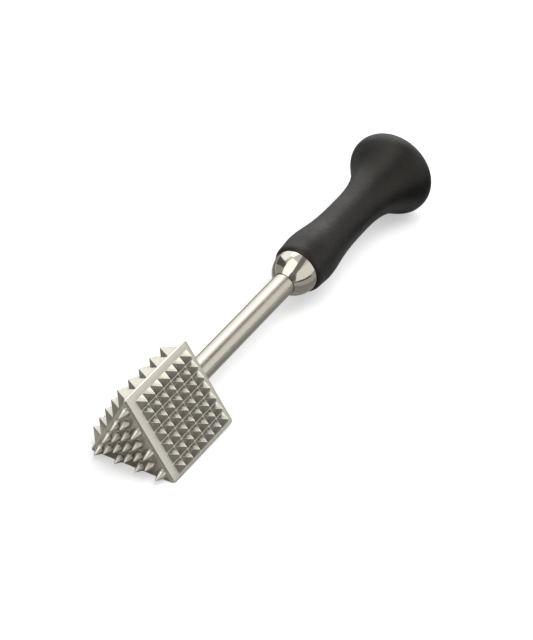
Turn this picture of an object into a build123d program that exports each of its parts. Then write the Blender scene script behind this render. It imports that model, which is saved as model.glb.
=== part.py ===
from build123d import *
import os
from math import asin, atan2, cos, degrees, hypot, radians, sin, sqrt

# A meat tenderizer: a cast head in the form of a triangular prism, a steel shaft and a rubber grip.
# It is drawn along the handle's axis first: X runs from the head's front end to the butt, Z points to
# the head's top edge. At the end the whole tool is laid on a table the way it comes to rest, on the
# front edge of its smooth face and on the rim of the palm rest. All lengths are in millimetres.

# Head casting
head_side = 48.6
head_length = 50.0
head_top_flat = 1.2
head_front_chamfer = 0.9
head_edge_round = 0.3
axis_rise = 1.0
socket_depth = 10.0
rod_engagement = 18.0

# Small pyramids on the head's right side
fine_count = 7
fine_front_margin = 5.3
fine_back_margin = 2.8
fine_top_margin = 4.6
fine_bottom_margin = 2.0
fine_land = 0.55
fine_height = 4.2
fine_tip = 0.3

# Large pyramids on the head's left side
coarse_count = 5
coarse_front_margin = 2.5
coarse_back_margin = 4.4
coarse_top_margin = 2.75
coarse_bottom_margin = 2.75
coarse_land = 0.4
coarse_height = 5.9
coarse_tip = 0.7

# Spikes on the head's front end
spike_side_columns = 3
spike_spacing = 6.8
spike_radius = 2.5
spike_foot_height = 0.6
spike_shoulder_radius = 1.5
spike_tip_radius = 0.35
spike_height = 5.5

# Shaft tube and the rod inside it
shaft_diameter = 12.0
shaft_wall = 1.0
shaft_exposed = 85.5
slip_clearance = 0.05
rod_diameter = 6.0
rod_clearance = 0.2
thread_clearance = 0.05
rod_end_chamfer = 0.6

# Polished ferrule
ferrule_length = 12.2
ferrule_radius = 12.2
ferrule_lip = 0.4
ferrule_crown = 1.4
spigot_length = 7.0
spigot_wall = 1.2
ferrule_seat_wall = 3.0

# Rubber grip with its palm rest
grip_length = 95.3
grip_front_radius = 12.6
bulge_radius = 14.35
rim_radius = 23.7
rim_round = 8.5
rim_front_angle = 30.0
palm_crown = 1.0
grip_station_shares = (0.045, 0.124, 0.273, 0.441, 0.54, 0.735, 0.858)
grip_radius_shares = (0.968, 1.0, 0.882, 0.791, 0.781, 0.868, 1.157)

# Hard core under the rubber
core_wall = 2.6
flange_radius = 14.0
flange_thickness = 5.0
palm_skin = 3.0
pocket_depth = 16.0
pocket_clearance = 0.6

# Fastening in the butt
washer_radius = 6.0
washer_thickness = 1.6
spring_radius = 5.5
spring_thickness = 1.5
spring_slit = 0.8
nut_across_flats = 10.0
nut_height = 6.0
nut_collar_radius = 4.3
nut_collar_height = 1.5
rod_overhang = 2.5
plug_radius = 9.0
plug_stem_length = 2.0
plug_clearance = 0.1

# How far a cut runs on past an outer face
overrun = 1.0

# Places worked out from the sizes above
head_inradius = head_side / (2 * sqrt(3))
head_middle = -axis_rise
base_drop = head_inradius + axis_rise
shaft_radius = shaft_diameter / 2
rod_radius = rod_diameter / 2
shaft_start = head_length - socket_depth
rod_start = shaft_start - rod_engagement
ferrule_front = head_length + shaft_exposed
ferrule_back = ferrule_front + ferrule_length
spigot_end = ferrule_back + spigot_length
shaft_end = spigot_end - ferrule_seat_wall
spigot_radius = shaft_radius + slip_clearance + spigot_wall
rim_station = ferrule_back + grip_length
palm_end = rim_station + rim_round
butt_end = palm_end + palm_crown
core_radius = shaft_radius + core_wall
core_end = palm_end - palm_skin
pocket_floor = core_end - pocket_depth
pocket_radius = washer_radius + pocket_clearance
washer_end = pocket_floor + washer_thickness
spring_end = washer_end + spring_thickness
nut_end = spring_end + nut_height
rod_end = nut_end + rod_overhang


def bar(radius, start, end):
    """Round bar on the handle's axis."""
    return extrude(Plane.YZ.offset(start) * Circle(radius), amount=end - start)


def side_plane(turn, station, height):
    """Plane on one long side of the head: X along the handle, Y towards the head's top edge.

    turn is the side's angle from straight up, seen from the front; height counts from mid-side.
    """
    outward = Vector(0, sin(radians(turn)), cos(radians(turn)))
    up_the_side = outward.cross(Vector(1, 0, 0))
    if up_the_side.Z < 0:
        up_the_side = -up_the_side
    middle = Vector(station, 0, head_middle) + outward * head_inradius + up_the_side * height
    return Plane(origin=middle, x_dir=Vector(1, 0, 0), z_dir=outward)


def pyramid_field(turn, count, front, back, top, bottom, land, height, tip):
    """A square grid of blunt pyramids that fills one side of the head inside its margins."""
    pitch_along = (head_length - front - back + land) / count
    pitch_across = (head_side - top - bottom + land) / count
    station = (front + head_length - back) / 2
    field = side_plane(turn, station, (bottom - top) / 2)
    foot_along, foot_across = pitch_along - land, pitch_across - land
    pyramid = Wedge(
        foot_along, height, foot_across,
        (foot_along - tip) / 2, (foot_across - tip) / 2,
        (foot_along + tip) / 2, (foot_across + tip) / 2,
        align=(Align.CENTER, Align.MIN, Align.CENTER),
    )
    pyramid = Rot(90, 0, 0) * pyramid
    return [field * spot * pyramid for spot in GridLocations(pitch_along, pitch_across, count, count)]


def make_spike():
    """One spike: a short straight foot, a rounded shoulder, a cone and a rounded tip."""
    shoulder_middle = (spike_radius - spike_shoulder_radius, spike_foot_height)
    tip_middle = (0, spike_height - spike_tip_radius)
    run, reach = tip_middle[1] - shoulder_middle[1], shoulder_middle[0]
    # The cone touches the shoulder's arc and the tip's arc.
    lean = asin((spike_shoulder_radius - spike_tip_radius) / hypot(run, reach)) + atan2(reach, run)
    shoulder = CenterArc(shoulder_middle, spike_shoulder_radius, 0, degrees(lean))
    tip = CenterArc(tip_middle, spike_tip_radius, degrees(lean), 90 - degrees(lean))
    flank = Line(shoulder @ 1, tip @ 0)
    rest = Polyline((0, spike_height), (0, 0), (spike_radius, 0), (spike_radius, spike_foot_height))
    profile = make_face(shoulder.edges() + flank.edges() + tip.edges() + rest.edges())
    return revolve(Plane.XZ * profile, Axis.Z)


def end_spikes():
    """Spikes on a triangular grid whose outline is a triangle parallel to the head's own."""
    column_step = spike_spacing * sqrt(3) / 2
    spike = make_spike()
    front_end = Plane(origin=(0, 0, head_middle), x_dir=(0, 1, 0), z_dir=(-1, 0, 0))
    spikes = []
    for column in range(-spike_side_columns, spike_side_columns + 1):
        # Each column starts on the outline's slanted side and runs down to its base.
        rows_to_side = 1.5 * abs(column)
        rows_to_base = 1.5 * spike_side_columns
        for row in range(int(rows_to_base - rows_to_side) + 1):
            rise = (spike_side_columns - rows_to_side - row) * spike_spacing
            spot = front_end.to_local_coords(Vector(0, column * column_step, head_middle + rise))
            spikes.append(front_end * Pos(spot.X, spot.Y, 0) * spike)
    return spikes


def make_head():
    """One casting: eased prism, both pyramid fields, end spikes, socket and rod hole at the back."""
    outline = Polygon(
        (0, 2 * head_inradius),
        (-head_side / 2, -head_inradius),
        (head_side / 2, -head_inradius),
        align=None,
    )
    prism = extrude(Plane.YZ * Pos(0, head_middle) * outline, amount=head_length)
    top_edge = prism.edges().filter_by(Axis.X).sort_by(Axis.Z)[-1]
    prism = chamfer(top_edge, head_top_flat)
    # The front end's base edge, which the tool rests on, is only eased.
    front_edges = prism.faces().sort_by(Axis.X)[0].edges().sort_by(Axis.Z)[1:]
    prism = chamfer(front_edges, head_front_chamfer)
    prism = fillet(prism.edges(), head_edge_round)
    fine = pyramid_field(
        -60, fine_count, fine_front_margin, fine_back_margin, fine_top_margin,
        fine_bottom_margin, fine_land, fine_height, fine_tip,
    )
    coarse = pyramid_field(
        60, coarse_count, coarse_front_margin, coarse_back_margin, coarse_top_margin,
        coarse_bottom_margin, coarse_land, coarse_height, coarse_tip,
    )
    casting = prism.fuse(*fine, *coarse, *end_spikes())
    casting -= bar(shaft_radius + slip_clearance, shaft_start, head_length + overrun)
    casting -= bar(rod_radius + thread_clearance, rod_start, shaft_start)
    return casting


def make_shaft_tube():
    """Steel tube from the head's socket to its seat inside the ferrule."""
    return bar(shaft_radius, shaft_start, shaft_end) - bar(shaft_radius - shaft_wall, shaft_start, shaft_end)


def make_tie_rod():
    """Rod that is screwed into the head and draws the whole handle together."""
    rod = bar(rod_radius, rod_start, rod_end)
    return chamfer(rod.edges(), rod_end_chamfer)


def make_ferrule():
    """Bullet-shaped collar with a spigot that centres the grip's core."""
    front_radius = shaft_radius + slip_clearance + ferrule_lip
    dome = SagittaArc((ferrule_front, front_radius), (ferrule_back, ferrule_radius), ferrule_crown)
    rest = Polyline(
        (ferrule_back, ferrule_radius),
        (ferrule_back, 0),
        (ferrule_front, 0),
        (ferrule_front, front_radius),
    )
    collar = revolve(Plane.XZ * make_face(dome.edges() + rest.edges()), Axis.X)
    collar += bar(spigot_radius, ferrule_back, spigot_end)
    collar -= bar(shaft_radius + slip_clearance, ferrule_front, shaft_end)
    return collar - bar(rod_radius + rod_clearance, shaft_end, spigot_end)


def core_envelope():
    """Outer form of the core, which the rubber is moulded on."""
    return bar(core_radius, ferrule_back, core_end) + bar(flange_radius, core_end - flange_thickness, core_end)


def make_handle_core():
    """Hard core: a sleeve with a palm flange, a seat for the spigot and a pocket for the nut."""
    core = core_envelope()
    core -= bar(spigot_radius + slip_clearance, ferrule_back, spigot_end)
    core -= bar(rod_radius + rod_clearance, spigot_end, pocket_floor)
    return core - bar(pocket_radius, pocket_floor, core_end)


def grip_form():
    """The grip's outer form as if it were solid: bulge, waist, flare and domed palm rest."""
    outline = [(ferrule_back, grip_front_radius)]
    for along, across in zip(grip_station_shares, grip_radius_shares):
        outline.append((ferrule_back + along * grip_length, across * bulge_radius))
    lean = radians(rim_front_angle)
    rim_centre = rim_radius - rim_round
    rim_start = (rim_station - rim_round * sin(lean), rim_centre + rim_round * cos(lean))
    rim_top = (rim_station + rim_round * sin(lean), rim_centre + rim_round * cos(lean))
    outline.append(rim_start)
    body = Spline(*outline, tangents=[(1, 1), (cos(lean), sin(lean))])
    rim = ThreePointArc(rim_start, rim_top, (palm_end, rim_centre))
    crown = SagittaArc((palm_end, rim_centre), (palm_end, -rim_centre), palm_crown)
    half_crown = crown.trim(0, 0.5)
    rest = Polyline((butt_end, 0), (ferrule_back, 0), (ferrule_back, grip_front_radius))
    face = make_face(body.edges() + rim.edges() + half_crown.edges() + rest.edges())
    return revolve(Plane.XZ * face, Axis.X)


def make_grip():
    """Rubber moulded over the core, open at the butt for the plug."""
    opening = bar(plug_radius + plug_clearance, core_end, butt_end + overrun)
    return grip_form() - core_envelope() - opening


def make_end_plug():
    """Plug that closes the nut pocket and carries on the curve of the palm rest."""
    head = grip_form() & bar(plug_radius, core_end, butt_end + overrun)
    return head + bar(pocket_radius - plug_clearance, core_end - plug_stem_length, core_end)


def make_flat_washer():
    """Plain washer on the floor of the nut pocket."""
    hole = bar(rod_radius + rod_clearance, pocket_floor, washer_end)
    return bar(washer_radius, pocket_floor, washer_end) - hole


def make_spring_washer():
    """Split spring washer, pressed flat under the nut."""
    ring = bar(spring_radius, washer_end, spring_end) - bar(rod_radius + rod_clearance, washer_end, spring_end)
    middle = ((washer_end + spring_end) / 2, 0, spring_radius / 2)
    return ring - Pos(*middle) * Box(spring_thickness, spring_slit, spring_radius)


def make_lock_nut():
    """Hexagon nut with a round locking collar."""
    collar_start = nut_end - nut_collar_height
    hexagon = Plane.YZ.offset(spring_end) * RegularPolygon(nut_across_flats / 2, 6, major_radius=False)
    nut = extrude(hexagon, amount=collar_start - spring_end)
    nut += bar(nut_collar_radius, collar_start, nut_end)
    return nut - bar(rod_radius + thread_clearance, spring_end, nut_end)


def laid_down(pieces):
    """Turn and lift the tool onto the table, with the middle of its length at the origin."""
    edge_along, edge_below = head_edge_round, -base_drop + head_edge_round
    rim_along, rim_below = rim_station, -(rim_radius - rim_round)
    run, fall = rim_along - edge_along, rim_below - edge_below
    tilt = asin((rim_round - head_edge_round) / hypot(run, fall)) - atan2(fall, run)
    lift = head_edge_round - edge_along * sin(tilt) - edge_below * cos(tilt)
    turned = {name: Pos(0, 0, lift) * Rot(0, -degrees(tilt), 0) * piece for name, piece in pieces.items()}
    boxes = [piece.bounding_box() for piece in turned.values()]
    middle = (min(box.min.X for box in boxes) + max(box.max.X for box in boxes)) / 2
    return {name: Pos(-middle, 0, 0) * piece for name, piece in turned.items()}


pieces = {
    "head": make_head(),
    "shaft_tube": make_shaft_tube(),
    "tie_rod": make_tie_rod(),
    "ferrule": make_ferrule(),
    "handle_core": make_handle_core(),
    "grip": make_grip(),
    "flat_washer": make_flat_washer(),
    "spring_washer": make_spring_washer(),
    "lock_nut": make_lock_nut(),
    "end_plug": make_end_plug(),
}

os.makedirs("parts", exist_ok=True)
for name, piece in laid_down(pieces).items():
    export_step(piece, f"parts/{name}.step")
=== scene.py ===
"""A meat tenderizer, dressed: cast head, satin shaft, polished ferrule, rubber grip and end cap.

Each piece is drawn along the handle's axis first, with X from the head's front end to the palm rest
and Z towards the head's top edge, and is then laid on the table in the place of its solid.
"""

import logging
import math
from collections.abc import Callable, Sequence
from dataclasses import dataclass
from enum import Enum
from itertools import pairwise
from typing import ClassVar

import bmesh
import bpy
import numpy as np
from bmesh.types import BMEdge, BMFace
from bpy.types import Material, Node, NodeSocket, NodeTree, Object
from mathutils import Euler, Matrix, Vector


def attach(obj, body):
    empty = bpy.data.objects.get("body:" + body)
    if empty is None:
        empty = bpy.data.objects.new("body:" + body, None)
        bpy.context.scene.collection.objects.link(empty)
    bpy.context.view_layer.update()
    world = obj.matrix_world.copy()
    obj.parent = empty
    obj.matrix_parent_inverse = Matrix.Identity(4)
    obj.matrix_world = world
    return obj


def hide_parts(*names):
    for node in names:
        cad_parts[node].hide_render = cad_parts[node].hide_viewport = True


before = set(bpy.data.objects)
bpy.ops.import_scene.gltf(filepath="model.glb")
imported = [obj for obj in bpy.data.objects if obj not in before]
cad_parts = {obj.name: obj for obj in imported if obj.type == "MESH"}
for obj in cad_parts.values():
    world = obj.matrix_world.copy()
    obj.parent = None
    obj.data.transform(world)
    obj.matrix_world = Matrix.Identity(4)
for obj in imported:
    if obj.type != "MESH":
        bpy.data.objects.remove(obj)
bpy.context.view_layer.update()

LOG = logging.getLogger("tenderizer")
MM = 0.001
# Places closer together than CLOSE count as one, and points closer than MERGE are joined.
CLOSE = 0.01 * MM
MERGE = 0.001 * MM
QUARTER = math.pi / 2
UP = (0.0, 0.0, 1.0)
WHITE = (1.0, 1.0, 1.0, 1.0)

Outline = list[tuple[float, float]]
Colour = tuple[float, float, float, float]
Feed = NodeSocket | float | Colour


class Element(Enum):
    """What is picked in edit mode."""

    EDGE = "EDGE"
    FACE = "FACE"


class Axis(Enum):
    """Directions along which an edge's place is read."""

    ALONG = 0
    UPWARD = 2


class Side(Enum):
    """Long sides of the head that carry teeth, by their angle from straight up, in degrees."""

    RIGHT = -60.0
    LEFT = 60.0


class Arithmetic(Enum):
    """How two values of a pattern are combined."""

    ADD = "ADD"
    MULTIPLY = "MULTIPLY"
    LARGER = "MAXIMUM"


@dataclass(frozen=True)
class Rest:
    """How the tool lies on the table: tilted onto its palm rest, lifted and centred."""

    tilt: float = math.radians(2.04724)
    shift: float = -123.1116 * MM
    lift: float = 15.0095 * MM

    def lay(self, piece: Object) -> None:
        """Turn a piece from the handle's own axis onto the table, with its place in its mesh.

        Args:
            piece: the piece on the handle's own axis.
        """
        piece.rotation_euler = Euler((0.0, -self.tilt, 0.0))
        piece.location = Vector((self.shift, 0.0, self.lift))
        pick_object(piece)
        bpy.ops.object.transform_apply(location=True, rotation=True, scale=True)


REST = Rest()


# Picking and shaping


def pick_object(piece: Object) -> None:
    """Make one object the only selected one, and the active one.

    Args:
        piece: the object.
    """
    bpy.ops.object.select_all(action="DESELECT")
    piece.select_set(True)
    bpy.context.view_layer.objects.active = piece


def pick(piece: Object, element: Element, test: Callable[[object], bool]) -> None:
    """Select the faces or edges of a piece in edit mode that pass a test, and nothing else.

    Args:
        piece: the object in edit mode.
        element: whether faces or edges are picked.
        test: says whether one of them is wanted.
    """
    bpy.ops.mesh.select_mode(type=element.value)
    bpy.ops.mesh.select_all(action="DESELECT")
    mesh = bmesh.from_edit_mesh(piece.data)
    mesh.normal_update()
    for item in mesh.faces if element is Element.FACE else mesh.edges:
        if test(item):
            item.select_set(True)
    mesh.select_flush_mode()
    bmesh.update_edit_mesh(piece.data)


def add_plane(name: str, size: float) -> Object:
    """Add a square as the only selected object.

    Args:
        name: its name.
        size: its width.

    Returns:
        The square.
    """
    bpy.ops.object.select_all(action="DESELECT")
    bpy.ops.mesh.primitive_plane_add(size=size)
    bpy.context.active_object.name = name
    return bpy.context.active_object


def lies_at(edge: BMEdge, axis: Axis, place: float) -> bool:
    """Say whether both ends of an edge are at one place along an axis."""
    return all(abs(v.co[axis.value] - place) < CLOSE for v in edge.verts)


def bevel(piece: Object, test: Callable[[BMEdge], bool], width: float, steps: int = 1) -> None:
    """Bevel the edges of a piece in edit mode that pass a test, flat in one step or round in more."""
    pick(piece, Element.EDGE, test)
    bpy.ops.mesh.bevel(offset=width, segments=steps, affect="EDGES")


def soften(piece: Object, crease: float) -> None:
    """Shade a piece smooth, apart from edges sharper than an angle in radians."""
    pick_object(piece)
    bpy.ops.object.shade_smooth_by_angle(angle=crease)


def smooth_run(
    knots: Sequence[tuple[float, float]], first_slope: float, last_slope: float, steps: int
) -> Outline:
    """Draw one smooth curve through measured points.

    Args:
        knots: the points (station, radius) that it goes through.
        first_slope: its direction at the first point, in radians from the axis.
        last_slope: its direction at the last point, in radians from the axis.
        steps: points drawn from each knot to the next.

    Returns:
        The points of the curve, both ends included.
    """
    points = np.array(knots)
    spans = np.linalg.norm(np.diff(points, axis=0), axis=1)
    count = len(points)
    bend = np.eye(count)
    goal = np.zeros((count, 2))
    goal[0] = math.cos(first_slope), math.sin(first_slope)
    goal[-1] = math.cos(last_slope), math.sin(last_slope)
    # The curve bends without a jump at each knot, which gives one equation for its direction there.
    for row in range(1, count - 1):
        before, after = spans[row - 1], spans[row]
        bend[row, row - 1 : row + 2] = after, 2 * (before + after), before
        rise_before = (points[row] - points[row - 1]) / before
        rise_after = (points[row + 1] - points[row]) / after
        goal[row] = 3 * (after * rise_before + before * rise_after)
    slopes = np.linalg.solve(bend, goal)
    run = [tuple(points[0])]
    for row, span in enumerate(spans):
        for step in range(1, steps + 1):
            t = step / steps
            point = (
                (1 + 2 * t) * (1 - t) ** 2 * points[row]
                + t * (1 - t) ** 2 * span * slopes[row]
                + t * t * (3 - 2 * t) * points[row + 1]
                + t * t * (t - 1) * span * slopes[row + 1]
            )
            run.append(tuple(point))
    return run


def arc_run(centre: tuple[float, float], radius: float, start: float, end: float, steps: int) -> Outline:
    """Draw a circular arc.

    Args:
        centre: its centre (station, radius from the axis).
        radius: the arc's own radius.
        start: angle of its first point from the axis direction, in radians.
        end: angle of its last point.
        steps: how many chords it is drawn with.

    Returns:
        The points of the arc, both ends included.
    """
    angles = (start + (end - start) * step / steps for step in range(steps + 1))
    return [(centre[0] + radius * math.cos(a), centre[1] + radius * math.sin(a)) for a in angles]


def lathe(name: str, outline: Outline, segments: int, crease: float) -> Object:
    """Turn an outline about the handle's axis into one closed piece.

    Args:
        name: name of the piece.
        outline: points (station, radius) in metres; a ring's outline ends where it starts.
        segments: steps of the turn.
        crease: edges sharper than this angle stay sharp, in radians.

    Returns:
        The turned piece, on the handle's own axis.
    """
    piece = add_plane(name, MM)
    piece.data.name = name
    bpy.ops.object.mode_set(mode="EDIT")
    bpy.ops.mesh.select_mode(type="VERT")
    bpy.ops.mesh.select_all(action="SELECT")
    bpy.ops.mesh.merge(type="CENTER")
    bpy.ops.transform.translate(value=(outline[0][0], 0.0, outline[0][1]))
    for here, there in pairwise(outline):
        step = (there[0] - here[0], 0.0, there[1] - here[1])
        bpy.ops.mesh.extrude_region_move(TRANSFORM_OT_translate={"value": step})
    bpy.ops.mesh.select_all(action="SELECT")
    bpy.ops.mesh.spin(steps=segments, angle=math.tau, center=(0.0, 0.0, 0.0), axis=(1.0, 0.0, 0.0))
    bpy.ops.mesh.select_all(action="SELECT")
    bpy.ops.mesh.remove_doubles(threshold=MERGE)
    bpy.ops.mesh.select_all(action="SELECT")
    bpy.ops.mesh.normals_make_consistent(inside=False)
    bpy.ops.object.mode_set(mode="OBJECT")
    soften(piece, crease)
    return piece


# Colours and finishes


def linear(code: str) -> Colour:
    """Turn an sRGB colour into the linear colour that a shader takes, by the standard's own formula.

    Args:
        code: the colour as a hex code.

    Returns:
        Its red, green, blue and alpha.
    """
    shares = [int(code[i : i + 2], 16) / 255 for i in (1, 3, 5)]
    red, green, blue = (s / 12.92 if s <= 0.04045 else ((s + 0.055) / 1.055) ** 2.4 for s in shares)
    return red, green, blue, 1.0


@dataclass(frozen=True)
class Nodes:
    """Node tree of a material or of the world, with a method for each node that comes up often."""

    tree: NodeTree

    def feed(self, node: Node, inputs: dict[str | int, Feed]) -> None:
        """Link or set a node's inputs.

        Args:
            node: the node.
            inputs: for each input, by name or number, a socket to link or a value to set.
        """
        for name, value in inputs.items():
            if isinstance(value, NodeSocket):
                self.tree.links.new(value, node.inputs[name])
            else:
                node.inputs[name].default_value = value

    def add(self, kind: str, inputs: dict | None = None, **settings: object) -> Node:
        """Add a node.

        Args:
            kind: the node's type.
            inputs: what its inputs get.
            settings: values for the node's own properties.

        Returns:
            The new node.
        """
        node = self.tree.nodes.new(kind)
        for name, value in settings.items():
            setattr(node, name, value)
        self.feed(node, inputs or {})
        return node

    def on_axis(self) -> NodeSocket:
        """Turn Object coordinates back onto the handle's own axis, for a pattern that follows it.

        Returns:
            The coordinates, in metres.
        """
        place = {"Vector": self.add("ShaderNodeTexCoord").outputs["Object"]}
        laid = {"Location": (REST.shift, 0.0, REST.lift), "Rotation": (0.0, -REST.tilt, 0.0)}
        return self.add("ShaderNodeMapping", place | laid, vector_type="TEXTURE").outputs["Vector"]

    def noise(self, place: NodeSocket, size: float, detail: float) -> NodeSocket:
        """Give a cloudy pattern of levels around one half, with spots of about the given size."""
        inputs = {"Vector": place, "Scale": 1 / size, "Detail": detail}
        return self.add("ShaderNodeTexNoise", inputs).outputs["Fac"]

    def remap(self, value: NodeSocket, source: tuple[Feed, Feed], target: tuple = (0.0, 1.0)) -> NodeSocket:
        """Stretch one range of a value over another one, and hold the result within that."""
        ends = zip(("From Min", "From Max", "To Min", "To Max"), source + target)
        return self.add("ShaderNodeMapRange", {"Value": value, **dict(ends)}).outputs["Result"]

    def combine(self, way: Arithmetic, first: Feed, second: Feed) -> NodeSocket:
        """Give what arithmetic makes of two values."""
        return self.add("ShaderNodeMath", {0: first, 1: second}, operation=way.value).outputs["Value"]

    def mix(self, share: NodeSocket, first: Feed, second: Feed) -> NodeSocket:
        """Mix two colours, by the second one's share."""
        inputs = {"Factor": share, "A": first, "B": second}
        return self.add("ShaderNodeMix", inputs, data_type="RGBA").outputs["Result"]

    def dim(self, colour: Feed, level: NodeSocket) -> NodeSocket:
        """Darken a colour by a level."""
        inputs = {"Factor": 1.0, "A": colour, "B": level}
        return self.add("ShaderNodeMix", inputs, data_type="RGBA", blend_type="MULTIPLY").outputs["Result"]

    def relief(self, height: NodeSocket, depth: float, strength: float) -> NodeSocket:
        """Give the normals of a surface that a pattern raises."""
        inputs = {"Strength": strength, "Distance": depth, "Height": height}
        return self.add("ShaderNodeBump", inputs).outputs["Normal"]


def new_material(name: str, plain: dict[str, Feed]) -> tuple[Material, Nodes, Node]:
    """Make a material with one shader.

    Args:
        name: the material's name.
        plain: the shader's plain values.

    Returns:
        The material, its nodes and its shader.
    """
    material = bpy.data.materials.new(name)
    material.use_nodes = True
    nodes, shader = Nodes(material.node_tree), material.node_tree.nodes["Principled BSDF"]
    nodes.feed(shader, plain)
    return material, nodes, shader


@dataclass(frozen=True)
class Finish:
    """What every finish has: a name, a colour and one shader with its plain values."""

    name: str
    colour: str
    metallic: float
    roughness: float

    def start(self) -> tuple[Material, Nodes, Node]:
        """Make the material with its plain values, and give it with its nodes and its shader."""
        plain = {"Base Color": linear(self.colour), "Metallic": self.metallic, "Roughness": self.roughness}
        return new_material(self.name, plain)

    def make(self) -> Material:
        """Make the material with its patterns, and return it."""
        raise NotImplementedError


@dataclass(frozen=True)
class CastAluminium(Finish):
    """Aluminium, sand cast and then blasted.

    The eye sees a soft grey sheen with a fine grain and paler edges, partly wear and partly a painted
    highlight, and painted shade darkens the hollows between the teeth. The real grain is finer than a
    pixel, so it is drawn at the size given here.
    """

    name: str = "aluminium_cast_blasted"
    colour: str = "#c0bdb1"
    metallic: float = 1.0
    roughness: float = 0.27
    grain: float = 0.45 * MM
    grain_detail: float = 3.0
    grain_depth: float = 0.03 * MM
    grain_strength: float = 0.5
    cloud: float = 7.0 * MM
    cloud_detail: float = 4.0
    cloud_range: tuple[float, float] = (0.3, 0.7)
    cloud_tones: tuple[float, float] = (0.92, 1.0)
    cloud_sheens: tuple[float, float] = (-0.05, 0.06)
    # Paler colour of the open edges: partly wear, partly a painted highlight.
    edge_wear_and_highlight_colour: str = "#e6e2d8"
    wear_and_highlight_width: float = 0.7 * MM
    wear_and_highlight_samples: int = 6
    wear_and_highlight_lean: float = 0.86
    wear_and_highlight_share: float = 0.9
    # Painted shade: a darker colour in the hollows, by how closed in they are.
    painted_shade_colour: str = "#7d796f"
    painted_shade_reach: float = 6.0 * MM
    painted_shade_samples: int = 8
    painted_shade_start: float = 0.3
    skin_colour: str = "#c3bfb2"
    skin_roughness: float = 0.33
    skin_painted_shade_start: float = -0.8
    skin_start: float = 0.2 * MM
    skin_end: float = 1.0 * MM

    def make(self) -> Material:
        """Make the material with its patterns.

        Returns:
            The material.
        """
        material, nodes, shader = self.start()
        place = nodes.on_axis()
        station = nodes.add("ShaderNodeSeparateXYZ", {"Vector": place}).outputs["X"]
        skin = (0.0, self.skin_end)
        # Paler edges, partly wear and partly a painted highlight: where a rounded normal would lean
        # away from the true one, out in the open.
        rounded = nodes.add("ShaderNodeBevel", {"Radius": self.wear_and_highlight_width}, samples=self.wear_and_highlight_samples)
        true = nodes.add("ShaderNodeNewGeometry")
        normals = {0: rounded.outputs["Normal"], 1: true.outputs["Normal"]}
        lean = nodes.add("ShaderNodeVectorMath", normals, operation="DOT_PRODUCT").outputs["Value"]
        edge_wear_and_highlight = nodes.remap(lean, (1.0, self.wear_and_highlight_lean), (0.0, self.wear_and_highlight_share))
        # Painted shade in the hollows, fainter between the front end's spikes than between the teeth.
        reach = {"Distance": self.painted_shade_reach}
        hollow = nodes.add("ShaderNodeAmbientOcclusion", reach, samples=self.painted_shade_samples)
        painted_shade_onset = nodes.remap(station, skin, (self.skin_painted_shade_start, self.painted_shade_start))
        open_share = nodes.remap(hollow.outputs["AO"], (painted_shade_onset, 1.0))
        # The front end keeps its rougher skin from the mould: spikes are rubbed bright, the flat stays dull.
        depth = nodes.add("ShaderNodeMath", {0: station}, operation="ABSOLUTE").outputs["Value"]
        ground = nodes.remap(depth, (self.skin_start, self.skin_end))
        bare = nodes.mix(ground, linear(self.skin_colour), linear(self.colour))
        # Painted shade: the hollows take the darker shade colour.
        tone = nodes.mix(open_share, linear(self.painted_shade_colour), bare)
        # Share of the paler edge colour, partly wear and partly a painted highlight, kept out of the
        # hollows.
        polished = nodes.combine(Arithmetic.MULTIPLY, edge_wear_and_highlight, open_share)
        # The open edges take the paler colour: partly wear, partly a painted highlight.
        worn_and_highlit = nodes.mix(polished, tone, linear(self.edge_wear_and_highlight_colour))
        # Faint clouds from the blasting change its tone and its sheen together.
        cloud = nodes.noise(place, self.cloud, self.cloud_detail)
        dull = nodes.remap(station, skin, (self.skin_roughness, self.roughness))
        patchy = nodes.remap(cloud, self.cloud_range, self.cloud_sheens)
        grain = nodes.noise(place, self.grain, self.grain_detail)
        nodes.feed(
            shader,
            {
                "Base Color": nodes.dim(worn_and_highlit, nodes.remap(cloud, self.cloud_range, self.cloud_tones)),
                "Roughness": nodes.combine(Arithmetic.ADD, dull, patchy),
                "Normal": nodes.relief(grain, self.grain_depth, self.grain_strength),
            },
        )
        return material


@dataclass(frozen=True)
class TurnedSteel(Finish):
    """Stainless steel, polished while it turns.

    Fine rings run round the piece, so highlights stay crisp across it and blur a little along it.
    The real rings are finer than a pixel, so they are drawn at the width given here.
    """

    name: str = "stainless_steel_satin_turned"
    colour: str = "#bfb9ad"
    metallic: float = 1.0
    roughness: float = 0.26
    ring_width: float = 0.5 * MM
    ring_length: float = 9.0 * MM
    ring_detail: float = 2.0
    ring_depth: float = 0.001 * MM
    ring_strength: float = 0.5
    smudge: float = 14.0 * MM
    smudge_detail: float = 5.0
    both_range: tuple[float, float] = (0.7, 1.3)
    spread: float = 0.05
    fade: float = 0.93

    def make(self) -> Material:
        """Make the material with its patterns.

        Returns:
            The material.
        """
        material, nodes, shader = self.start()
        place = nodes.on_axis()
        scale = (1 / self.ring_width, 1 / self.ring_length, 1 / self.ring_length)
        drawn = nodes.add("ShaderNodeMapping", {"Vector": place, "Scale": scale})
        rings = nodes.noise(drawn.outputs["Vector"], 1.0, self.ring_detail)
        smudge = nodes.noise(place, self.smudge, self.smudge_detail)
        both = nodes.combine(Arithmetic.ADD, rings, smudge)
        sheens = (self.roughness - self.spread, self.roughness + self.spread)
        tone = nodes.remap(both, self.both_range, (self.fade, 1.0))
        nodes.feed(
            shader,
            {
                "Base Color": nodes.dim(linear(self.colour), tone),
                "Roughness": nodes.remap(both, self.both_range, sheens),
                "Normal": nodes.relief(rings, self.ring_depth, self.ring_strength),
            },
        )
        return material


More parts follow.
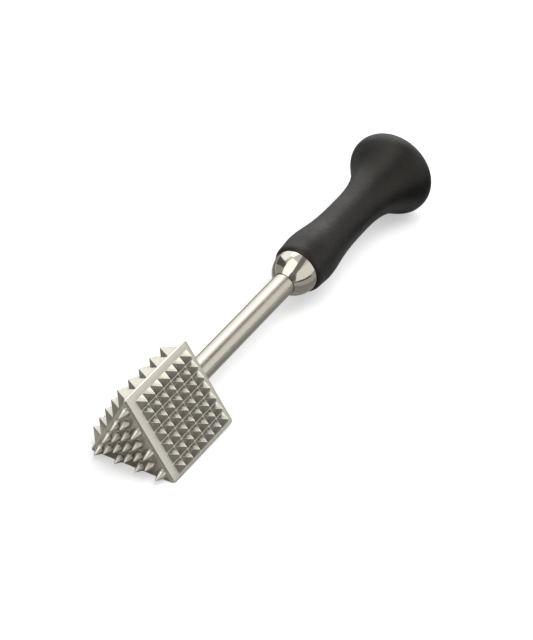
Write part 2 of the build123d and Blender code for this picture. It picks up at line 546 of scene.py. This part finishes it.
@dataclass(frozen=True)
class MouldedPolymer(Finish):
    """Rubber or plastic from a spark-eroded mould.

    The mould leaves a matt, even grain of fine pits. Handling shines the high spots a little and
    leaves faint clouds, so the sheen is never quite even. The real pits are finer than a pixel, so
    they are drawn at the size given here.
    """

    name: str = "thermoplastic_rubber_moulded_matt"
    colour: str = "#040404"
    metallic: float = 0.0
    roughness: float = 0.47
    pale_colour: str = "#12110f"
    pit: float = 0.8 * MM
    pit_detail: float = 2.0
    pit_depth: float = 0.3 * MM
    pit_strength: float = 0.6
    cloud: float = 16.0 * MM
    cloud_detail: float = 4.0
    both_range: tuple[float, float] = (0.75, 1.25)
    spread: float = 0.1
    ior: float = 1.41
    tint: str = "#fffcf2"

    def make(self) -> Material:
        """Make the material with its patterns.

        Returns:
            The material.
        """
        material, nodes, shader = self.start()
        place = nodes.on_axis()
        pits = nodes.noise(place, self.pit, self.pit_detail)
        cloud = nodes.noise(place, self.cloud, self.cloud_detail)
        both = nodes.combine(Arithmetic.ADD, pits, cloud)
        share = nodes.remap(both, self.both_range)
        sheens = (self.roughness - self.spread, self.roughness + self.spread)
        nodes.feed(
            shader,
            {
                "IOR": self.ior,
                "Specular Tint": linear(self.tint),
                "Base Color": nodes.mix(share, linear(self.colour), linear(self.pale_colour)),
                "Roughness": nodes.remap(both, self.both_range, sheens),
                "Normal": nodes.relief(pits, self.pit_depth, self.pit_strength),
            },
        )
        return material


# The tool's pieces


class Piece:
    """A new piece that takes the place of one solid."""

    node: ClassVar[str]
    slot: ClassVar[str]
    finish: Finish

    def build(self) -> Object:
        """Model the piece on the handle's own axis, and return it."""
        raise NotImplementedError

    def dress(self, piece: Object) -> None:
        """Lay the piece on the table in place of its solid, and give it its finish.

        Args:
            piece: the modelled piece, on the handle's own axis.
        """
        REST.lay(piece)
        piece.data.materials.append(self.finish.make())
        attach(piece, "root")
        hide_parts(self.node)
        LOG.info("%s: %d faces", piece.name, len(piece.data.polygons))


@dataclass(frozen=True)
class ToothField:
    """A square grid of blunt pyramids on one long side of the head."""

    side: Side
    count: int
    front: float
    back: float
    top: float
    bottom: float
    land: float
    height: float
    tip: float
    crest_round: float
    root_round: float
    round_steps: int = 2
    # A face this far above the side and this much turned from it is a flank.
    flank_rise: float = 0.02 * MM
    flank_facing: float = 0.9


@dataclass
class Head(Piece):
    """Cast head: a triangular prism with two fields of teeth, end spikes and a socket for the shaft."""

    node: ClassVar[str] = "head"
    slot: ClassVar[str] = "cast_head"

    side: float = 48.6 * MM
    length: float = 50.0 * MM
    top_flat: float = 1.2 * MM
    front_chamfer: float = 0.9 * MM
    edge_round: float = 0.18 * MM
    edge_steps: int = 3
    heel_round: float = 1.5 * MM
    heel_steps: int = 6
    back_round: float = 0.4 * MM
    back_steps: int = 5
    sharp_angle: float = math.radians(35.0)
    crease: float = math.radians(28.0)
    axis_rise: float = 1.0 * MM
    socket_radius: float = 6.05 * MM
    socket_depth: float = 10.0 * MM
    socket_round: float = 0.35 * MM
    socket_segments: int = 96
    spike_columns: int = 3
    # Each column away from the middle starts this many rows lower, along the front end's slanted sides.
    spike_row_drop: float = 1.5
    spike_spacing: float = 6.8 * MM
    spike_radius: float = 2.5 * MM
    spike_foot: float = 0.6 * MM
    spike_shoulder: float = 1.5 * MM
    spike_tip: float = 0.35 * MM
    spike_height: float = 5.5 * MM
    spike_root: float = 0.25 * MM
    spike_sink: float = 0.05 * MM
    spike_root_steps: int = 3
    spike_arc_steps: int = 5
    spike_segments: int = 32
    fields: tuple[ToothField, ...] = (
        ToothField(
            Side.RIGHT, count=7,
            front=5.3 * MM, back=2.8 * MM, top=4.6 * MM, bottom=2.0 * MM,
            land=0.55 * MM, height=4.2 * MM, tip=0.3 * MM, crest_round=0.12 * MM, root_round=0.12 * MM,
        ),
        ToothField(
            Side.LEFT, count=5,
            front=2.5 * MM, back=4.4 * MM, top=2.75 * MM, bottom=2.75 * MM,
            land=0.4 * MM, height=5.9 * MM, tip=0.7 * MM, crest_round=0.2 * MM, root_round=0.12 * MM,
        ),
    )
    finish: CastAluminium = CastAluminium()

    @property
    def inradius(self) -> float:
        """Distance from the prism's middle line to each long side."""
        return self.side / (2 * math.sqrt(3))

    def side_axes(self, side: Side) -> tuple[Vector, Vector, Vector]:
        """Give the directions of one long side.

        Args:
            side: which one.

        Returns:
            The side's middle at the front end, its outward direction and its upward one.
        """
        turn = math.radians(side.value)
        outward = Vector((0.0, math.sin(turn), math.cos(turn)))
        upward = Vector((0.0, -math.cos(turn) * math.copysign(1, turn), abs(math.sin(turn))))
        middle = Vector((0.0, 0.0, -self.axis_rise)) + outward * self.inradius
        return middle, outward, upward

    def is_sharp(self, edge: BMEdge) -> bool:
        """Say whether the faces at an edge meet too sharply for a casting."""
        return edge.calc_face_angle(0.0) > self.sharp_angle

    def cast_prism(self) -> Object:
        """Model the prism: its top edge flattened, its front end bevelled and its other edges rounded.

        Returns:
            The prism, with its top edge up.
        """
        bpy.ops.object.select_all(action="DESELECT")
        bpy.ops.mesh.primitive_cylinder_add(
            vertices=3,
            radius=2 * self.inradius,
            depth=self.length,
            location=(self.length / 2, 0.0, -self.axis_rise),
            rotation=(QUARTER, 0.0, QUARTER),
        )
        prism = bpy.context.active_object
        prism.name = prism.data.name = "head_casting"
        bpy.ops.object.transform_apply(location=True, rotation=True, scale=True)
        top = 2 * self.inradius - self.axis_rise
        base = -self.inradius - self.axis_rise

        def at_front(edge: BMEdge) -> bool:
            """Say whether an edge bounds the front end, other than at the base."""
            above = any(v.co.z > base + self.top_flat for v in edge.verts)
            return above and lies_at(edge, Axis.ALONG, 0.0)

        def at_heel(edge: BMEdge) -> bool:
            """Say whether an edge is the heel, where the back end meets the base."""
            return lies_at(edge, Axis.ALONG, self.length) and lies_at(edge, Axis.UPWARD, base)

        def at_back_or_base(edge: BMEdge) -> bool:
            """Say whether a sharp edge bounds the back end, or runs along the base."""
            behind = all(v.co.x > self.length - self.heel_round - CLOSE for v in edge.verts)
            lengthwise = abs(edge.verts[0].co.y - edge.verts[1].co.y) < self.front_chamfer
            below = lengthwise and lies_at(edge, Axis.UPWARD, base)
            return self.is_sharp(edge) and (behind or below)

        bpy.ops.object.mode_set(mode="EDIT")
        bevel(prism, lambda edge: lies_at(edge, Axis.UPWARD, top), self.top_flat)
        # The front end's base edge, which the tool rests on, is only eased.
        bevel(prism, at_front, self.front_chamfer)
        # The casting is roundest at its heel, and rounder along the back end and the base than at its
        # other edges.
        bevel(prism, at_heel, self.heel_round, self.heel_steps)
        bevel(prism, at_back_or_base, self.back_round, self.back_steps)
        bevel(prism, self.is_sharp, self.edge_round, self.edge_steps)
        bpy.ops.object.mode_set(mode="OBJECT")
        return prism

    def cut_socket(self, prism: Object) -> None:
        """Bore the socket for the shaft into the back end, and round its mouth.

        Args:
            prism: the head.
        """
        bpy.ops.object.select_all(action="DESELECT")
        bpy.ops.mesh.primitive_cylinder_add(
            vertices=self.socket_segments,
            radius=self.socket_radius,
            depth=2 * self.socket_depth,
            location=(self.length, 0.0, 0.0),
            rotation=(0.0, QUARTER, 0.0),
        )
        drill = bpy.context.active_object
        bpy.ops.object.transform_apply(location=True, rotation=True, scale=True)
        pick_object(prism)
        bore = prism.modifiers.new("bore", "BOOLEAN")
        bore.operation = "DIFFERENCE"
        bore.solver = "EXACT"
        bore.object = drill
        bpy.ops.object.modifier_apply(modifier=bore.name)
        bpy.data.objects.remove(drill)

        def at_mouth(edge: BMEdge) -> bool:
            """Say whether an edge is part of the socket's mouth."""
            offsets = (math.hypot(v.co.y, v.co.z) - self.socket_radius for v in edge.verts)
            return lies_at(edge, Axis.ALONG, self.length) and all(abs(offset) < CLOSE for offset in offsets)

        bpy.ops.object.mode_set(mode="EDIT")
        bevel(prism, at_mouth, self.socket_round, self.edge_steps)
        bpy.ops.object.mode_set(mode="OBJECT")

    def raise_teeth(self, prism: Object, teeth: ToothField) -> None:
        """Mark out a field on one side, divide it into squares and pull each up to a blunt point.

        Args:
            prism: the head.
            teeth: the field's sizes and side.
        """
        middle, outward, upward = self.side_axes(teeth.side)
        half = teeth.land / 2
        low = -self.side / 2 + teeth.bottom - half
        high = self.side / 2 - teeth.top + half
        first, last = teeth.front - half, self.length - teeth.back + half
        along = Vector((1.0, 0.0, 0.0))

        def lies_flat(face: BMFace) -> bool:
            """Say whether a face lies on this side's plane."""
            return all(abs((v.co - middle).dot(outward)) < CLOSE for v in face.verts)

        def lies_inside(face: BMFace) -> bool:
            """Say whether a face is part of the marked field."""
            spot = face.calc_center_median() - middle
            return lies_flat(face) and first < spot.x < last and low < spot.dot(upward) < high

        def is_flank(face: BMFace) -> bool:
            """Say whether a face is a tooth's flank."""
            rise = (face.calc_center_median() - middle).dot(outward)
            return rise > teeth.flank_rise and face.normal.dot(outward) < teeth.flank_facing

        def is_crest(edge: BMEdge) -> bool:
            """Say whether an edge bounds a flank away from this side's plane."""
            return any(map(is_flank, edge.link_faces)) and not any(map(lies_flat, edge.link_faces))

        def is_root(edge: BMEdge) -> bool:
            """Say whether an edge joins a flank to this side's plane."""
            return any(map(is_flank, edge.link_faces)) and any(map(lies_flat, edge.link_faces))

        bpy.ops.object.mode_set(mode="EDIT")
        for point, normal in (
            (middle + along * first, along),
            (middle + along * last, along),
            (middle + upward * low, upward),
            (middle + upward * high, upward),
        ):
            pick(prism, Element.FACE, lies_flat)
            bpy.ops.mesh.bisect(plane_co=point, plane_no=normal)
        pick(prism, Element.FACE, lies_inside)
        bpy.ops.mesh.subdivide(number_cuts=teeth.count - 1)
        pick(prism, Element.FACE, lies_inside)
        bpy.ops.mesh.inset(thickness=half, use_individual=True)
        foot = (last - first) / teeth.count - teeth.land
        bpy.ops.mesh.inset(thickness=(foot - teeth.tip) / 2, depth=teeth.height, use_individual=True)
        bevel(prism, is_crest, teeth.crest_round, teeth.round_steps)
        bevel(prism, is_root, teeth.root_round, teeth.round_steps)
        bpy.ops.object.mode_set(mode="OBJECT")

    def turn_spike(self) -> Object:
        """Turn one spike with a filleted root, a rounded shoulder and a rounded tip.

        Returns:
            The spike, at the front end's place on the axis.
        """
        run = self.spike_height - self.spike_tip - self.spike_foot
        reach = self.spike_radius - self.spike_shoulder
        # The cone touches the shoulder's arc and the tip's arc.
        touch = math.asin((self.spike_shoulder - self.spike_tip) / math.hypot(run, reach))
        cone = QUARTER + touch + math.atan2(reach, run)
        root = (-self.spike_root, self.spike_radius + self.spike_root)
        shoulder = (-self.spike_foot, reach)
        tip = (self.spike_tip - self.spike_height, 0.0)
        outline: Outline = [(self.spike_sink, 0.0), (self.spike_sink, root[1])]
        outline += arc_run(root, self.spike_root, 0.0, -QUARTER, self.spike_root_steps)
        outline += arc_run(shoulder, self.spike_shoulder, QUARTER, cone, self.spike_arc_steps)
        outline += arc_run(tip, self.spike_tip, cone, math.pi, self.spike_arc_steps)
        outline[-1] = (outline[-1][0], 0.0)
        return lathe("spike", outline, self.spike_segments, self.crease)

    def set_spikes(self, prism: Object) -> None:
        """Set copies of one spike on a triangular grid that is parallel to the front end's outline.

        Args:
            prism: the head.
        """
        spike = self.turn_spike()
        step = self.spike_spacing * math.sqrt(3) / 2
        copies = []
        for column in range(-self.spike_columns, self.spike_columns + 1):
            first_row = self.spike_columns - self.spike_row_drop * abs(column)
            rows = int(self.spike_row_drop * (self.spike_columns - abs(column))) + 1
            for row in range(rows):
                rise = (first_row - row) * self.spike_spacing
                pick_object(spike)
                bpy.ops.object.duplicate(linked=False)
                copy = bpy.context.active_object
                copy.location = (0.0, column * step, rise - self.axis_rise)
                copies.append(copy)
        bpy.data.objects.remove(spike)
        pick_object(prism)
        for copy in copies:
            copy.select_set(True)
        bpy.ops.object.join()

    def build(self) -> Object:
        """Model the whole casting.

        Returns:
            The head.
        """
        prism = self.cast_prism()
        self.cut_socket(prism)
        for teeth in self.fields:
            self.raise_teeth(prism, teeth)
        self.set_spikes(prism)
        soften(prism, self.crease)
        return prism


@dataclass
class Shaft(Piece):
    """Steel tube between the head's socket and the ferrule."""

    node: ClassVar[str] = "shaft_tube"
    slot: ClassVar[str] = "shaft_steel"

    start: float = 40.0 * MM
    end: float = 151.7 * MM
    radius: float = 6.0 * MM
    wall: float = 1.0 * MM
    end_round: float = 0.3 * MM
    stations: int = 24
    segments: int = 128
    crease: float = math.radians(35.0)
    finish: TurnedSteel = TurnedSteel()

    def build(self) -> Object:
        """Turn the tube.

        Returns:
            The shaft.
        """
        inner, edge = self.radius - self.wall, self.end_round
        run = self.end - self.start - 2 * edge
        outline: Outline = [(self.start, inner), (self.start, self.radius - edge)]
        for number in range(self.stations + 1):
            outline.append((self.start + edge + run * number / self.stations, self.radius))
        outline += [(self.end, self.radius - edge), (self.end, inner), (self.start, inner)]
        return lathe("satin_shaft", outline, self.segments, self.crease)


@dataclass
class Ferrule(Piece):
    """Bullet-shaped polished collar with a spigot inside the grip."""

    node: ClassVar[str] = "ferrule"
    slot: ClassVar[str] = "ferrule_polish"

    front: float = 135.5 * MM
    length: float = 12.2 * MM
    radius: float = 12.2 * MM
    front_radius: float = 6.45 * MM
    crown: float = 1.4 * MM
    bore: float = 6.05 * MM
    edge: float = 0.2 * MM
    spigot_radius: float = 7.25 * MM
    spigot_length: float = 7.0 * MM
    seat_wall: float = 3.0 * MM
    rod_hole: float = 3.2 * MM
    dome_steps: int = 40
    segments: int = 160
    crease: float = math.radians(35.0)
    finish: TurnedSteel = TurnedSteel(
        name="stainless_steel_mirror_polished",
        colour="#bdb7ab",
        roughness=0.09,
        ring_width=0.7 * MM,
        ring_depth=0.0006 * MM,
        spread=0.03,
        fade=0.97,
    )

    def build(self) -> Object:
        """Turn the collar from its domed outline.

        Returns:
            The ferrule.
        """
        back = self.front + self.length
        spigot_end = back + self.spigot_length
        chord = math.hypot(self.length, self.radius - self.front_radius)
        dome_radius = (chord * chord / 4 + self.crown * self.crown) / (2 * self.crown)
        lean = math.atan2(self.radius - self.front_radius, self.length)
        reach = dome_radius - self.crown
        centre = (
            self.front + self.length / 2 + reach * math.sin(lean),
            (self.front_radius + self.radius) / 2 - reach * math.cos(lean),
        )
        start = math.atan2(self.front_radius - centre[1], self.front - centre[0])
        end = math.atan2(self.radius - centre[1], back - centre[0])
        outline: Outline = [(self.front + self.edge, self.bore), (self.front, self.bore + self.edge / 2)]
        outline += arc_run(centre, dome_radius, start, end, self.dome_steps)
        outline += [
            (back, self.spigot_radius),
            (spigot_end, self.spigot_radius),
            (spigot_end, self.rod_hole),
            (spigot_end - self.seat_wall, self.rod_hole),
            (spigot_end - self.seat_wall, self.bore),
            (self.front + self.edge, self.bore),
        ]
        return lathe("polished_ferrule", outline, self.segments, self.crease)


@dataclass
class Grip(Piece):
    """Rubber grip with a bulge, a waist and a flared palm rest, moulded on the core."""

    node: ClassVar[str] = "grip"
    slot: ClassVar[str] = "grip_rubber"

    front: float = 147.7 * MM
    length: float = 95.3 * MM
    front_radius: float = 12.6 * MM
    bulge: float = 14.35 * MM
    rim: float = 23.7 * MM
    rim_round: float = 8.5 * MM
    rim_lean: float = math.radians(30.0)
    palm_crown: float = 1.0 * MM
    lip_round: float = 0.25 * MM
    lip_lean: float = math.radians(45.0)
    station_shares: tuple[float, ...] = (0.045, 0.124, 0.273, 0.441, 0.54, 0.735, 0.858)
    radius_shares: tuple[float, ...] = (0.968, 1.0, 0.882, 0.791, 0.781, 0.868, 1.157)
    core_radius: float = 8.6 * MM
    flange_radius: float = 14.0 * MM
    flange_thickness: float = 5.0 * MM
    palm_skin: float = 3.0 * MM
    opening: float = 9.1 * MM
    mouth_round: float = 0.3 * MM
    knot_steps: int = 9
    rim_steps: int = 28
    palm_steps: int = 8
    segments: int = 160
    crease: float = math.radians(40.0)
    finish: MouldedPolymer = MouldedPolymer()

    @property
    def palm_end(self) -> float:
        """Where the rim's round turns into the palm."""
        return self.front + self.length + self.rim_round

    @property
    def palm_reach(self) -> float:
        """Distance from the axis at which the rim's round turns into the palm."""
        return self.rim - self.rim_round

    def palm(self, radius: float) -> float:
        """Give the station of the domed palm at a distance from the axis."""
        dome = (self.palm_reach**2 + self.palm_crown**2) / (2 * self.palm_crown)
        return self.palm_end + self.palm_crown - dome + math.sqrt(dome * dome - radius * radius)

    def palm_run(self, start: float, end: float) -> Outline:
        """Draw the domed palm from one distance from the axis to another, both included."""
        shares = (step / self.palm_steps for step in range(self.palm_steps + 1))
        return [(self.palm(r), r) for r in (start + (end - start) * share for share in shares)]

    def build(self) -> Object:
        """Turn the grip with its bore and its opening in the palm.

        Returns:
            The grip.
        """
        rim_centre = (self.front + self.length, self.palm_reach)
        rim = arc_run(rim_centre, self.rim_round, QUARTER + self.rim_lean, 0.0, self.rim_steps)
        knots = [(self.front + self.lip_round, self.front_radius + self.lip_round)]
        for along, across in zip(self.station_shares, self.radius_shares):
            knots.append((self.front + along * self.length, across * self.bulge))
        knots.append(rim[0])
        outline: Outline = [(self.front, self.core_radius), (self.front, self.front_radius)]
        outline += smooth_run(knots, self.lip_lean, self.rim_lean, self.knot_steps) + rim[1:]
        outline += self.palm_run(self.palm_reach, self.opening + self.mouth_round)[1:]
        core_end = self.palm_end - self.palm_skin
        flange_start = core_end - self.flange_thickness
        outline += [
            (self.palm(self.opening) - self.mouth_round, self.opening),
            (core_end, self.opening),
            (core_end, self.flange_radius),
            (flange_start, self.flange_radius),
            (flange_start, self.core_radius),
            (self.front, self.core_radius),
        ]
        return lathe("rubber_grip", outline, self.segments, self.crease)


@dataclass
class EndCap(Piece):
    """Hard cap that closes the nut pocket and carries on the curve of the palm."""

    node: ClassVar[str] = "end_plug"
    slot: ClassVar[str] = "plug_plastic"

    grip: Grip
    radius: float = 9.0 * MM
    stem_radius: float = 6.5 * MM
    stem_length: float = 2.0 * MM
    edge: float = 0.4 * MM
    # The edge is cut in two bevels, which meet at these shares of its size below the palm and outwards.
    edge_shares: tuple[float, float] = (0.12, 0.29)
    segments: int = 96
    crease: float = math.radians(50.0)
    finish: MouldedPolymer = MouldedPolymer(
        name="abs_plastic_moulded_satin",
        colour="#1f1e1d",
        pale_colour="#262423",
        roughness=0.42,
        pit=0.4 * MM,
        pit_depth=0.015 * MM,
        spread=0.04,
        ior=1.53,
    )

    def build(self) -> Object:
        """Turn the cap.

        Returns:
            The cap.
        """
        seat = self.grip.palm_end - self.grip.palm_skin
        rim = self.radius - self.edge
        below, outward = (share * self.edge for share in self.edge_shares)
        outline: Outline = [
            (seat - self.stem_length, 0.0),
            (seat - self.stem_length, self.stem_radius),
            (seat, self.stem_radius),
            (seat, self.radius),
            (self.grip.palm(self.radius) - self.edge, self.radius),
            (self.grip.palm(rim) - below, rim + outward),
        ]
        outline += self.grip.palm_run(rim, 0.0)
        return lathe("palm_end_cap", outline, self.segments, self.crease)


@dataclass
class Inside:
    """Solids inside the handle that keep their own shape and get a finish."""

    steel: TurnedSteel = TurnedSteel(
        name="zinc_plated_steel_turned",
        colour="#c3c6c8",
        roughness=0.32,
        ring_width=0.4 * MM,
        ring_depth=0.006 * MM,
        smudge=5.0 * MM,
        spread=0.08,
        fade=0.85,
    )
    plastic: MouldedPolymer = MouldedPolymer(
        name="glass_filled_nylon_moulded",
        colour="#3a3b3c",
        pale_colour="#4a4b4b",
        roughness=0.5,
        pit=0.6 * MM,
        pit_depth=0.03 * MM,
        cloud=8.0 * MM,
    )

    def dress(self) -> None:
        """Give the hidden solids their finishes."""
        steel, plastic = self.steel.make(), self.plastic.make()
        for node, material in (
            ("tie_rod", steel),
            ("flat_washer", steel),
            ("spring_washer", steel),
            ("lock_nut", steel),
            ("handle_core", plastic),
        ):
            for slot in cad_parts[node].material_slots:
                slot.material = material
            LOG.info("%s: %s", node, material.name)


# Studio


@dataclass(frozen=True)
class Panel:
    """Flat studio panel: which way it hangs from the tool, how far off and how large it is."""

    name: str
    direction: tuple[float, float, float]
    distance: float
    width: float
    height: float
    turn: float = 0.0
    centre: tuple[float, float, float] = (0.0, 0.0, 0.0)

    def place(self, thing: Object) -> None:
        """Hang an object there, facing its centre, out of the camera's own sight.

        Args:
            thing: the lamp or the card.
        """
        back = Vector(self.direction).normalized()
        turned = back.to_track_quat("Z", "Y") @ Euler((0.0, 0.0, self.turn)).to_quaternion()
        thing.rotation_mode = "QUATERNION"
        thing.rotation_quaternion = turned
        thing.location = Vector(self.centre) + back * self.distance
        thing.visible_camera = False


@dataclass(frozen=True)
class Softbox(Panel):
    """Area lamp behind white cloth."""

    brightness: float = 1.0
    in_metal: bool = True

    def build(self) -> None:
        """Hang the lamp."""
        data = bpy.data.lights.new(self.name, "AREA")
        data.shape = "RECTANGLE"
        data.size, data.size_y = self.width, self.height
        data.energy = self.brightness * math.pi * self.width * self.height
        lamp = bpy.data.objects.new(self.name, data)
        bpy.context.scene.collection.objects.link(lamp)
        self.place(lamp)
        lamp.visible_glossy = self.in_metal


@dataclass(frozen=True)
class Card(Panel):
    """Card that only shiny surfaces show: a white one draws a highlight, a grey one a dark band."""

    level: float = 0.2
    shaded: bool = False

    def build(self) -> None:
        """Hang the card at its own level, or lit by the lamps, and let it throw no shadow."""
        card = add_plane(self.name, 1.0)
        card.scale = (self.width, self.height, 1.0)
        self.place(card)
        card.visible_diffuse = card.visible_shadow = False
        grey, own_light = (self.level, 0.0) if self.shaded else (0.0, self.level)
        paint = {"Base Color": (grey, grey, grey, 1.0), "Specular IOR Level": 0.0}
        glow = {"Emission Color": WHITE, "Emission Strength": own_light}
        board, _, _ = new_material("paper_board_pressed", paint | glow)
        card.data.materials.append(board)


@dataclass
class Studio:
    """White sweep, soft lamps and reflector cards round the tool, with its sizes in metres."""

    floor_size: float = 6.0
    floor_colour: str = "#e6e6e6"
    floor_roughness: float = 0.9
    lift: float = 0.44
    ambient: float = 0.5
    # Each one's name, direction, distance, width and height, and the angle that it is turned by.
    panels: tuple[Softbox | Card, ...] = (
        Softbox("key_softbox", (0.16, -0.34, 0.86), 4.0, 2.8, 2.8, brightness=3.6, in_metal=False),
        Softbox("side_softbox", (0.033, -0.939, 0.342), 1.1, 1.8, 1.0, brightness=0.3),
        Card("overhead_card", (-0.42, 0.11, 0.9), 0.9, 0.82, 1.08, level=2.1),
        Card("window_card", (0.603, 0.524, 0.602), 1.0, 1.3, 0.9, level=1.75),
        Card("skylight_card", (0.657, 0.3, 0.692), 0.97, 0.37, 0.9, math.radians(-37), level=3.2),
        Card("right_flag", (-0.04, -0.42, 0.8), 0.9, 1.75, 0.36, math.radians(15.6), level=0.28),
        Card("left_flag", (-0.16, 0.9, 0.42), 1.3, 1.8, 1.6, level=0.5),
        Card("gap_flag", (0.063, 0.904, 0.423), 0.95, 1.5, 0.29, math.radians(54), level=0.14),
        Card("front_flag", (-0.882, -0.356, 0.309), 1.5, 1.55, 1.6, level=0.2),
        Card("back_flag", (0.82, -0.55, 0.08), 1.3, 0.5, 0.5, level=0.5),
        Card("table_card", UP, 0.0005, 0.9, 0.9, level=0.6, shaded=True),
        # The grey cards laid on the floor beside the tool are seen only in the metal: painted shade that
        # darkens the floor's reflection near the tool.
        Card("side_card", UP, 0.001, 0.25, 0.14, level=0.1, centre=(-0.06, -0.18, 0.0)),
        Card("front_card", UP, 0.001, 0.53, 0.438, level=0.29, centre=(-0.345, -0.246, 0.0)),
        Card("grip_card", UP, 0.001, 0.18, 0.22, level=0.15, centre=(0.24, -0.16, 0.0)),
        Card("shaft_card", UP, 0.001, 0.12, 0.03, level=0.36, centre=(-0.005, -0.022, 0.0)),
        Card("palm_card", UP, 0.001, 0.13, 0.07, level=0.1, centre=(0.145, -0.065, 0.0)),
        Card("left_card", UP, 0.001, 0.5, 0.24, level=0.3, centre=(0.03, 0.17, 0.0)),
    )

    def seen(self, nodes: Nodes) -> NodeSocket:
        """Give 1 for rays from the camera, in mirrors or through glass, and 0 for others."""
        rays = nodes.add("ShaderNodeLightPath").outputs
        shiny = nodes.combine(Arithmetic.LARGER, rays["Is Camera Ray"], rays["Is Glossy Ray"])
        return nodes.combine(Arithmetic.LARGER, shiny, rays["Is Transmission Ray"])

    def lay_floor(self) -> None:
        """Lay the pale floor: the camera and the metal see it white, apart from the tool's shadow."""
        floor = add_plane("floor", self.floor_size)
        paint = {"Base Color": linear(self.floor_colour), "Roughness": self.floor_roughness}
        plain = {"Specular IOR Level": 0.0, "Emission Color": WHITE}
        paper, nodes, shader = new_material("paper_pale_rolled", paint | plain)
        glow = nodes.combine(Arithmetic.MULTIPLY, self.seen(nodes), self.lift)
        nodes.feed(shader, {"Emission Strength": glow})
        floor.data.materials.append(paper)

    def light_world(self) -> None:
        """Make the surroundings white to the eye and in the metal, and a plain level of light elsewhere."""
        world = bpy.data.worlds.new("white_sweep")
        bpy.context.scene.world = world
        world.use_nodes = True
        world.node_tree.nodes.clear()
        nodes = Nodes(world.node_tree)
        level = nodes.remap(self.seen(nodes), (0.0, 1.0), (self.ambient, 1.0))
        air = nodes.add("ShaderNodeBackground", {"Color": WHITE, "Strength": level})
        nodes.add("ShaderNodeOutputWorld", {"Surface": air.outputs["Background"]})

    def build(self) -> None:
        """Set up the whole studio."""
        self.light_world()
        self.lay_floor()
        for panel in self.panels:
            panel.build()
        bpy.context.scene.view_settings.view_transform = "Standard"


@dataclass
class PhotoCamera:
    """Camera at the photograph's angle, for a picture of 533 by 640."""

    azimuth: float = math.radians(-56.008)
    elevation: float = math.radians(37.617)
    roll: float = math.radians(-2.435)
    place: tuple[float, float, float] = (-736.56 * MM, -493.55 * MM, 688.42 * MM)
    lens: float = 124.9
    sensor: float = 36.0
    nearest: float = 0.05
    farthest: float = 50.0

    def build(self) -> None:
        """Set up the camera and make it the scene's own."""
        data = bpy.data.cameras.new("camera")
        data.lens = self.lens
        data.sensor_width = self.sensor
        data.clip_start, data.clip_end = self.nearest, self.farthest
        camera = bpy.data.objects.new("camera", data)
        bpy.context.scene.collection.objects.link(camera)
        flat = math.cos(self.elevation)
        x, y = math.sin(self.azimuth) * flat, -math.cos(self.azimuth) * flat
        back = Vector((x, y, math.sin(self.elevation)))
        camera.rotation_mode = "QUATERNION"
        turned = (-back).to_track_quat("-Z", "Y")
        camera.rotation_quaternion = turned @ Euler((0.0, 0.0, self.roll)).to_quaternion()
        camera.location = self.place
        bpy.context.scene.camera = camera


def main() -> None:
    """Build and dress the tool's pieces in order, then the studio."""
    logging.basicConfig(level=logging.INFO, format="%(message)s")
    grip = Grip()
    for assembly in (Head(), Shaft(), Ferrule(), grip, EndCap(grip)):
        assembly.dress(assembly.build())
    Inside().dress()
    Studio().build()
    PhotoCamera().build()


if __name__ == "__main__":
    main()
